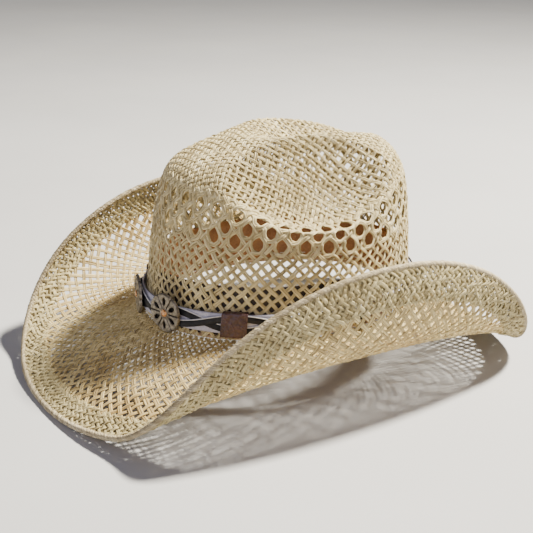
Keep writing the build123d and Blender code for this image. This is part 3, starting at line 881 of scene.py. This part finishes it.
def crossing_angles():
    """Angles from front to rear that divide the half oval evenly by length."""
    angle = np.linspace(0, 180, 721)
    points = wall_at(angle, lace_a_inner, np.full(len(angle), STRAP_CENTRE))
    lengths = np.concatenate([[0], np.cumsum(np.linalg.norm(np.diff(points, axis=0), axis=1))])
    half = CROSSINGS // 2
    return np.interp(lengths[-1] * np.arange(half + 1) / half, lengths, angle)


wave_angles = crossing_angles()


def lace_height(angle, side):
    """Height of a lace's middle line; its wave starts upwards for side 1."""
    turns = np.interp(np.abs(angle), wave_angles, np.arange(CROSSINGS // 2 + 1))
    return STRAP_CENTRE + side * LACE_WAVE * np.sin(pi * turns) * np.sign(angle)


def lace_strip(side, inner, climb, profile):
    """A strip that waves along the strap, moved upwards from the lace's middle line."""
    angle = np.linspace(-BAND_ENDS, BAND_ENDS, 721)
    points = wall_at(angle, inner + LACE_THICKNESS / 2, lace_height(angle, side))
    normals = wall_normal(angle, inner, STRAP_CENTRE)
    tangent = np.gradient(points, axis=0)
    tangent /= np.linalg.norm(tangent, axis=1, keepdims=True)
    up = np.cross(normals, tangent)
    return sweep((points + up * climb)[None], normals[None], profile)


piping_climb = LACE_WIDTH / 2 + PIPING_GAP + PIPING_WIDTH / 2
for name, side, inner in (("a", 1, lace_a_inner), ("b", -1, lace_b_inner)):
    strip = lace_strip(side, inner, 0.0, box_profile(LACE_WIDTH, LACE_THICKNESS, 0.0004, 4))
    lace = strand_piece(f"lace_{name}_strip", [strip], "hatband", black_leather)
    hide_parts(f"lace_{name}")
    cord = lace_strip(side, inner, piping_climb, oval_profile(PIPING_WIDTH, PIPING_WIDTH))
    piping = strand_piece(f"lace_piping_{name}_cord", [cord], "hatband", white_piping)
    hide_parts(f"lace_piping_{name}")


# ------------ keepers
keeper_reach = LACE_WAVE + LACE_WIDTH / 2 + PIPING_WIDTH + 2 * KEEPER_PLAY
keeper_inner = STRAP_GAP - KEEPER_PLAY
keeper_outer = lace_outer + KEEPER_PLAY
keeper_face = keeper_outer + KEEPER_WALL


def loop_section(low, high, inner, outer, rounding, count=8):
    """A rounded rectangle in (outset, height), as a closed loop of points."""
    points = []
    for k, (x, z) in enumerate([(outer, high), (inner, high), (inner, low), (outer, low)]):
        cx = x - rounding if x == outer else x + rounding
        cz = z - rounding if z == high else z + rounding
        for j in range(count):
            turn = pi / 2 * (k + j / (count - 1))
            points.append((cx + rounding * cos(turn), cz + rounding * sin(turn)))
    return np.array(points)


def keeper_mesh(name, angle):
    """A leather sleeve round the band, its ends a little rounded; returns half its angle."""
    low = STRAP_CENTRE - keeper_reach
    high = STRAP_CENTRE + keeper_reach
    outer = loop_section(low - KEEPER_WALL, high + KEEPER_WALL, keeper_inner - KEEPER_WALL, keeper_face,
                         KEEPER_CORNER)
    inner = loop_section(low, high, keeper_inner, keeper_outer, KEEPER_INNER_CORNER)
    middle = np.array([(STRAP_GAP + keeper_face) / 2, STRAP_CENTRE])
    before = wall_at(angle - 0.5, keeper_face, STRAP_CENTRE)
    degree = np.linalg.norm(wall_at(angle + 0.5, keeper_face, STRAP_CENTRE) - before)
    half = KEEPER_WIDTH / 2 / degree
    right = np.array([0.2, 0.4, 0.6, 0.8, 0.93, 0.985, 1])
    across = np.concatenate([-right[::-1], [0], right])
    swell = np.select([np.abs(across) > 0.99, np.abs(across) > 0.98], [0.955, 0.985], 1.0)
    size = len(outer)
    verts = []
    for share, grow in zip(across, swell):
        ring = middle + (outer - middle) * grow
        verts.append(wall_at(angle + share * half, ring[:, 0], ring[:, 1]))
        verts.append(wall_at(angle + share * half, inner[:, 0], inner[:, 1]))
    verts = np.concatenate(verts)
    k = np.arange(size)
    after = (k + 1) % size
    faces = []
    for row in range(len(across) - 1):
        a = 2 * row * size
        b = a + 2 * size
        faces.append(np.stack([a + k, a + after, b + after, b + k], axis=-1))
        a += size
        b += size
        faces.append(np.stack([a + k, b + k, b + after, a + after], axis=-1))
    last = 2 * (len(across) - 1) * size
    faces.append(np.stack([k, size + k, size + after, after], axis=-1))
    faces.append(np.stack([last + k, last + after, last + size + after, last + size + k], axis=-1))
    faces = np.concatenate(faces)
    piece = new_piece(name + "_sleeve", verts, faces, "hatband", brown_leather)
    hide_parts(name)
    return half


keeper_angles = {
    "keeper_left_front": KEEPER_FRONT_ANGLE,
    "keeper_left_rear": KEEPER_REAR_ANGLE,
    "keeper_right_rear": -KEEPER_REAR_ANGLE,
    "keeper_right_front": -KEEPER_FRONT_ANGLE,
    "keeper_back": 180.0,
}


def stitch(centre, along, normal):
    """A short rounded stitch that dips in at both ends."""
    length = KEEPER_STITCH_LENGTH
    width = KEEPER_STITCH_WIDTH
    steps = 7
    share = np.linspace(-1, 1, steps)
    rise = width * 0.45 * (1 - share**4)
    points = centre + along * (share * length / 2)[:, None] + normal * rise[:, None]
    normals = np.repeat(normal[None], steps, axis=0)
    scale = np.sqrt(1.02 - share**2) ** 0.7
    return sweep(points[None], normals[None], oval_profile(width, width * 0.8, 6), scale=scale[None])


upwards = np.array([0.0, 0.0, 1.0])
keeper_stitches = []
for name, angle in keeper_angles.items():
    half = keeper_mesh(name, angle)
    for column in (-1, 1):
        place = angle + column * half * (1 - 2 * KEEPER_STITCH_MARGIN / KEEPER_WIDTH)
        normal = wall_normal(place, keeper_face, STRAP_CENTRE)
        for row in KEEPER_STITCH_ROWS:
            height = STRAP_CENTRE + row * KEEPER_STITCH_PITCH
            centre = wall_at(place, keeper_face - KEEPER_PLAY, height)
            keeper_stitches.append(stitch(centre, upwards, normal))
stitch_rows = strand_piece("keeper_stitch_rows", keeper_stitches, "hatband", dark_thread)
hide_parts("keeper_stitching")


# ------------ conchos
def concho_frame(angle):
    """Origin and axes of a concho's back: level, up and outwards."""
    outset = lace_outer + LAYER_GAP
    origin = wall_at(angle, outset, CONCHO_CENTRE)
    out = wall_normal(angle, outset, CONCHO_CENTRE)
    return origin, np.cross(upwards, out), upwards, out


def concho_relief(radius, turn):
    """Height of the flower's face above its back, and how deep in a hollow it lies."""
    petal = 2 * pi / PETALS
    local = np.abs(np.mod(turn, petal) - petal / 2)
    away = radius * np.sin(petal / 2 - local)
    edge = CONCHO_RADIUS * (1 - 0.055 * (local / (petal / 2)) ** 6 + 0.006 * np.cos(48 * turn))
    groove = np.exp(-((away / GROOVE_HALF_WIDTH) ** 2)) * np.clip((radius - 0.0036) / 0.0012, 0, 1)
    along = (radius - TEAR_CENTRE) / TEAR_HALF_LENGTH
    drop = np.where(along < 0, 1 + 0.55 * along, 1.0)
    side = radius * np.sin(local) / (TEAR_HALF_WIDTH * np.maximum(drop, 0.2))
    hole = np.sqrt(along**2 + side**2)
    pocket = np.clip((1.02 - hole) / 0.16, 0, 1)
    rim = np.exp(-(((hole - 1.22) / 0.17) ** 2))
    border = np.exp(-(((edge - radius - 0.0011) / 0.0005) ** 2))
    collar = np.exp(-(((radius - COLLAR_RADIUS) / 0.0004) ** 2))
    fall = np.clip((edge - radius) / 0.0011, 0, 1)
    dome = CONCHO_DOME * np.sqrt(1 - (1 - fall) ** 2)
    dome = dome + 0.0003 * np.cos(radius / CONCHO_RADIUS * pi / 2)
    height = dome + 0.00032 * rim + 0.00028 * border * fall + 0.00035 * collar
    height = height - GROOVE_DEPTH * groove * fall - TEAR_DEPTH * pocket
    cavity = np.clip(pocket * 1.2 + 0.75 * groove * (fall > 0.05), 0, 1)
    return edge, np.maximum(height, 0.00015), cavity


def concho_mesh(side, angle):
    """A cast flower: its face in relief and a flat back."""
    rings = 64
    sectors = 240
    turn = np.arange(sectors) * 2 * pi / sectors
    share = np.linspace(0.02, 1, rings)[:, None]
    edge, _, _ = concho_relief(np.full(sectors, CONCHO_RADIUS * 0.9), turn)
    radius = edge * share
    _, height, cavity = concho_relief(radius, np.broadcast_to(turn, radius.shape))
    height[-1] = 0.0002
    origin, level, up, out = concho_frame(angle)
    spin = turn[None, :]
    flat = level * (radius * np.cos(spin))[..., None] + up * (radius * np.sin(spin))[..., None]
    front = origin + flat + out * height[..., None]
    back = origin + flat[-1]
    verts = np.concatenate([front.reshape(-1, 3), back, origin[None] + out * height[0, 0], origin[None]])
    k = np.arange(sectors)
    after = (k + 1) % sectors
    rows = np.arange(rings)[:, None] * sectors
    corners = (rows + k, rows + k + sectors, rows + after + sectors, rows + after)
    faces = np.stack(np.broadcast_arrays(*corners), axis=-1).reshape(-1, 4)
    base = rings * sectors
    middle = np.full(sectors, base + sectors)
    front_cap = np.stack([middle, k, after], axis=-1)
    back_cap = np.stack([middle + 1, base + after, base + k], axis=-1)
    caps = np.concatenate([front_cap, back_cap])
    piece = new_piece(f"concho_{side}_flower", verts, [faces, caps], "hatband", pewter)
    dirt = np.concatenate([cavity.ravel(), np.full(sectors + 2, 0.5)])
    keep_values(piece, "cavity", np.stack([dirt, dirt, dirt], axis=-1))
    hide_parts(f"concho_{side}")


def stone_mesh(side, angle):
    """A polished, slightly uneven round stone."""
    origin, level, up, out = concho_frame(angle)
    rings = 12
    sectors = 40
    lift = np.linspace(0, pi / 2, rings)[:, None]
    turn = np.arange(sectors) * 2 * pi / sectors
    uneven = 1 + 0.03 * np.sin(3 * turn + 1) + 0.02 * np.sin(5 * turn)
    radius = STONE_RADIUS * np.cos(lift) * uneven + 0.00001
    height = CONCHO_THICKNESS - STONE_SUNK + STONE_RISE * np.sin(lift) + 0 * turn
    points = origin + level * (radius * np.cos(turn))[..., None] + up * (radius * np.sin(turn))[..., None]
    points = points + out * height[..., None]
    verts = points.reshape(-1, 3)
    k = np.arange(sectors)
    after = (k + 1) % sectors
    rows = np.arange(rings - 1)[:, None] * sectors
    corners = (rows + k, rows + after, rows + after + sectors, rows + k + sectors)
    faces = np.stack(np.broadcast_arrays(*corners), axis=-1).reshape(-1, 4)
    bottom = k[None, ::-1]
    top = ((rings - 1) * sectors + k)[None]
    piece = new_piece(f"concho_stone_{side}_dome", verts, [faces, bottom, top],
                      "hatband", stone)
    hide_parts(f"concho_stone_{side}")


for side, angle in (("left", CONCHO_ANGLE), ("right", -CONCHO_ANGLE)):
    concho_mesh(side, angle)
    stone_mesh(side, angle)

# ------------ CAD nodes that stay
for node, material in {
    "brim_wire": steel, "sweatband_stitching": thread, "sweatband_seam_tape": tan_leather,
    "concho_screw_left": steel, "concho_screw_right": steel,
}.items():
    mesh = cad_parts[node].data
    mesh.materials.clear()
    mesh.materials.append(material)


# ------------ camera, floor and light
def camera():
    """A camera at three quarters from the front, a little rolled."""
    data = bpy.data.cameras.new("camera")
    data.sensor_width = 36
    data.lens = CAMERA_LENS
    data.clip_start = 0.01
    target = Vector(CAMERA_TARGET)
    place = Vector(CAMERA_PLACE)
    roll = radians(CAMERA_ROLL)
    back = (place - target).normalized()
    right = Vector((0, 0, 1)).cross(back).normalized()
    up = back.cross(right)
    level = right * cos(roll) + up * sin(roll)
    upright = up * cos(roll) - right * sin(roll)
    holder = bpy.data.objects.new("camera", data)
    holder.matrix_world = Matrix((level, upright, back)).transposed().to_4x4()
    holder.location = place
    bpy.context.scene.collection.objects.link(holder)
    bpy.context.scene.camera = holder


def floor():
    """A plain pale floor under the hat."""
    half = FLOOR_HALF
    corners = [(-half, -half, 0), (half, -half, 0), (half, half, 0), (-half, half, 0)]
    mesh = bpy.data.meshes.new("floor")
    mesh.from_pydata(corners, [], [(0, 1, 2, 3)])
    material, nodes, links, shader = material_nodes("pale_floor", 0.85)
    place = nodes.new("ShaderNodeTexCoord").outputs["Object"]
    mottle = noise(nodes, links, place, 3.0)
    colour = ramp(nodes, links, mottle, [(0.3, (0.50, 0.50, 0.51)), (0.7, (0.54, 0.54, 0.55))])
    links.new(colour, shader.inputs["Base Color"])
    mesh.materials.append(material)
    ground = bpy.data.objects.new("floor", mesh)
    bpy.context.scene.collection.objects.link(ground)


def light(name, direction, power, size, colour):
    """A square soft light in a direction from the hat, turned to it."""
    data = bpy.data.lights.new(name, "AREA")
    data.energy = power
    data.size = size
    data.color = colour
    lamp = bpy.data.objects.new(name, data)
    place = Vector(direction).normalized() * LIGHT_DISTANCE
    lamp.location = place + Vector(LIGHT_CENTRE)
    lamp.rotation_euler = place.to_track_quat("Z", "Y").to_euler()
    bpy.context.scene.collection.objects.link(lamp)


def surroundings():
    """Dim cool studio air, a warm key from behind on the right and a cool fill in front."""
    world = bpy.data.worlds.new("studio")
    world.use_nodes = True
    background = world.node_tree.nodes["Background"]
    background.inputs["Color"].default_value = (0.86, 0.87, 1.0, 1)
    background.inputs["Strength"].default_value = 0.19
    bpy.context.scene.world = world
    light("key", (0.12, 0.52, 0.85), 205, 0.22, (1.0, 0.94, 0.80))
    light("fill", (0.7, -0.75, 0.45), 13, 1.6, (0.88, 0.84, 1.0))


camera()
floor()
surroundings()
